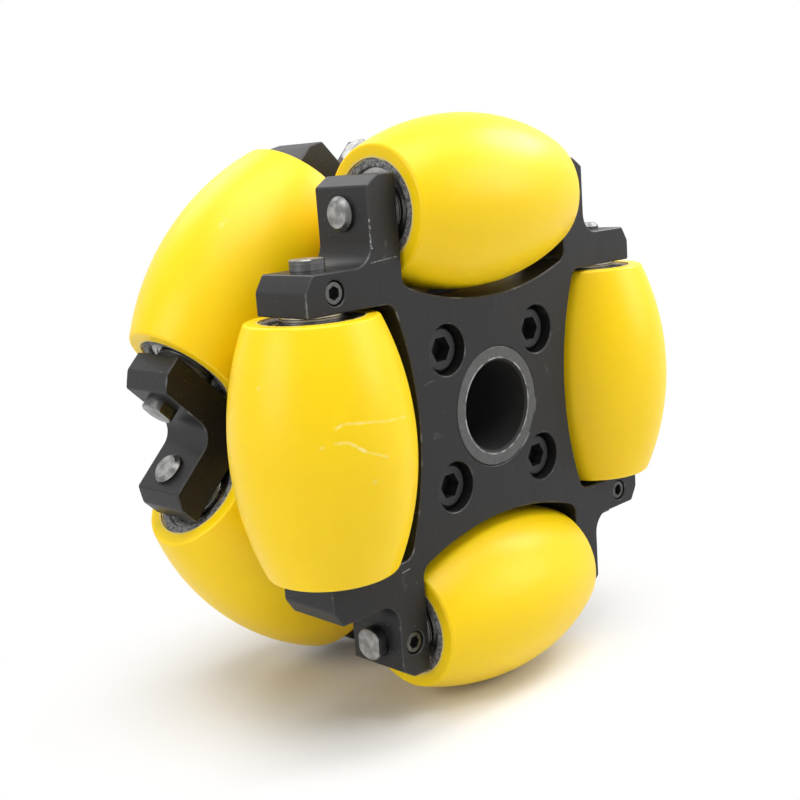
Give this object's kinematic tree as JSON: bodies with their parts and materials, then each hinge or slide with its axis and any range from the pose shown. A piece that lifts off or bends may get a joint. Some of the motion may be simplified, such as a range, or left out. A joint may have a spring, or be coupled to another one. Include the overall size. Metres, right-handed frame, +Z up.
{
  "type": "double-row omni wheel",
  "caption": "Omni wheel with two offset rows of barrel rollers held on pins between the ears of milled discs, clamped back to back on a bored sleeve.",
  "frame": {"origin": "the wheel's centre, on its axle and midway between the two rows of rollers", "axes": "+Y along the wheel's axle from the front disc to the rear disc, +Z up through the front row's top roller, +X to the right as seen from the front"},
  "size_m": [0.127, 0.0756, 0.127],
  "materials": {
    "disc": "black anodised over milled aluminium, satin",
    "sleeve": "turned, dark",
    "screws": "black oxide",
    "pins": "ground",
    "shims": "bright",
    "bearings": "bright",
    "cores": "rough, dull",
    "treads": "cast polyurethane, satin"
  },
  "bodies": {
    "hub": {"front_disc": "disc", "rear_disc": "disc", "hub_sleeve": "sleeve", "clamp_screws": "screws", "front_set_screws": "screws", "front_shim_washers": "shims", "rear_set_screws": "screws", "rear_shim_washers": "shims", "front_axle_1": "pins", "front_bearing_inner_rings_1": "bearings", "front_axle_2": "pins", "front_bearing_inner_rings_2": "bearings", "front_axle_3": "pins", "front_bearing_inner_rings_3": "bearings", "front_axle_4": "pins", "front_bearing_inner_rings_4": "bearings", "rear_axle_1": "pins", "rear_bearing_inner_rings_1": "bearings", "rear_axle_2": "pins", "rear_bearing_inner_rings_2": "bearings", "rear_axle_3": "pins", "rear_bearing_inner_rings_3": "bearings", "rear_axle_4": "pins", "rear_bearing_inner_rings_4": "bearings"},
    "front_roller_1": {"front_tread_1": "treads", "front_core_1": "cores", "front_bearing_outer_rings_1": "bearings"},
    "front_roller_2": {"front_tread_2": "treads", "front_core_2": "cores", "front_bearing_outer_rings_2": "bearings"},
    "front_roller_3": {"front_tread_3": "treads", "front_core_3": "cores", "front_bearing_outer_rings_3": "bearings"},
    "front_roller_4": {"front_tread_4": "treads", "front_core_4": "cores", "front_bearing_outer_rings_4": "bearings"},
    "rear_roller_1": {"rear_tread_1": "treads", "rear_core_1": "cores", "rear_bearing_outer_rings_1": "bearings"},
    "rear_roller_2": {"rear_tread_2": "treads", "rear_core_2": "cores", "rear_bearing_outer_rings_2": "bearings"},
    "rear_roller_3": {"rear_tread_3": "treads", "rear_core_3": "cores", "rear_bearing_outer_rings_3": "bearings"},
    "rear_roller_4": {"rear_tread_4": "treads", "rear_core_4": "cores", "rear_bearing_outer_rings_4": "bearings"}
  },
  "joints": [
    {"name": "front_roller_1_spin", "type": "hinge", "parent": "hub", "child": "front_roller_1", "pos_m": [0, -0.019, 0.04475], "axis": [1, 0, 0], "continuous": true},
    {"name": "front_roller_2_spin", "type": "hinge", "parent": "hub", "child": "front_roller_2", "pos_m": [0.04475, -0.019, 0], "axis": [0, 0, -1], "continuous": true},
    {"name": "front_roller_3_spin", "type": "hinge", "parent": "hub", "child": "front_roller_3", "pos_m": [0, -0.019, -0.04475], "axis": [-1, 0, 0], "continuous": true},
    {"name": "front_roller_4_spin", "type": "hinge", "parent": "hub", "child": "front_roller_4", "pos_m": [-0.04475, -0.019, 0], "axis": [0, 0, 1], "continuous": true},
    {"name": "rear_roller_1_spin", "type": "hinge", "parent": "hub", "child": "rear_roller_1", "pos_m": [0.03164, 0.019, 0.03164], "axis": [0.7071, 0, -0.7071], "continuous": true},
    {"name": "rear_roller_2_spin", "type": "hinge", "parent": "hub", "child": "rear_roller_2", "pos_m": [0.03164, 0.019, -0.03164], "axis": [-0.7071, 0, -0.7071], "continuous": true},
    {"name": "rear_roller_3_spin", "type": "hinge", "parent": "hub", "child": "rear_roller_3", "pos_m": [-0.03164, 0.019, -0.03164], "axis": [-0.7071, 0, 0.7071], "continuous": true},
    {"name": "rear_roller_4_spin", "type": "hinge", "parent": "hub", "child": "rear_roller_4", "pos_m": [-0.03164, 0.019, 0.03164], "axis": [0.7071, 0, 0.7071], "continuous": true}
  ]
}
